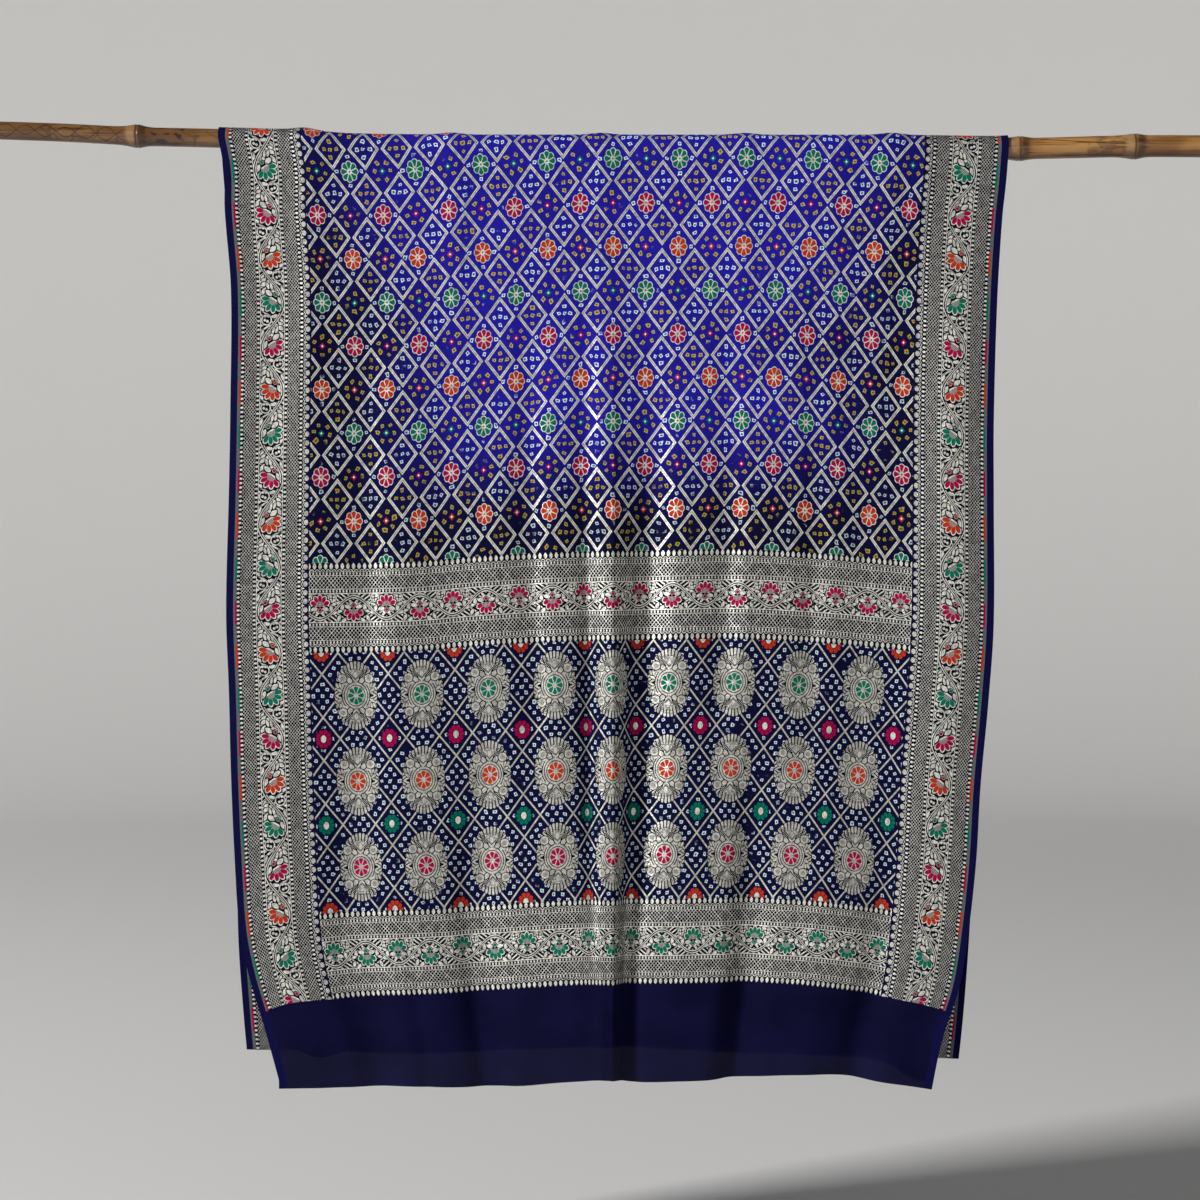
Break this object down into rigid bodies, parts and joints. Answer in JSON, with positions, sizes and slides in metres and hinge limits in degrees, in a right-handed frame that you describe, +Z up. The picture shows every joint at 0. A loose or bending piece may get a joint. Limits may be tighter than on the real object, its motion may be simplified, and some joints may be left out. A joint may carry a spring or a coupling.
{
  "type": "bandhani saree draped over a bamboo pole",
  "caption": "Long tie-dyed and brocaded cloth, folded in half and draped over a crooked bamboo pole so that its worked end hangs in front.",
  "frame": {"origin": "on the pole's axis, above the pressed crease down the middle of the cloth", "axes": "+Z up, +X along the pole, -Y towards the side on which the worked end hangs"},
  "size_m": [1.9, 0.0682, 1.4133],
  "materials": {
    "saree_fabric": "soft crepe ground with satin metallic brocade",
    "bamboo": "smooth and a little glossy"
  },
  "bodies": {
    "root": {"saree_cloth": "saree_fabric", "bamboo_pole": "bamboo"}
  },
  "joints": []
}
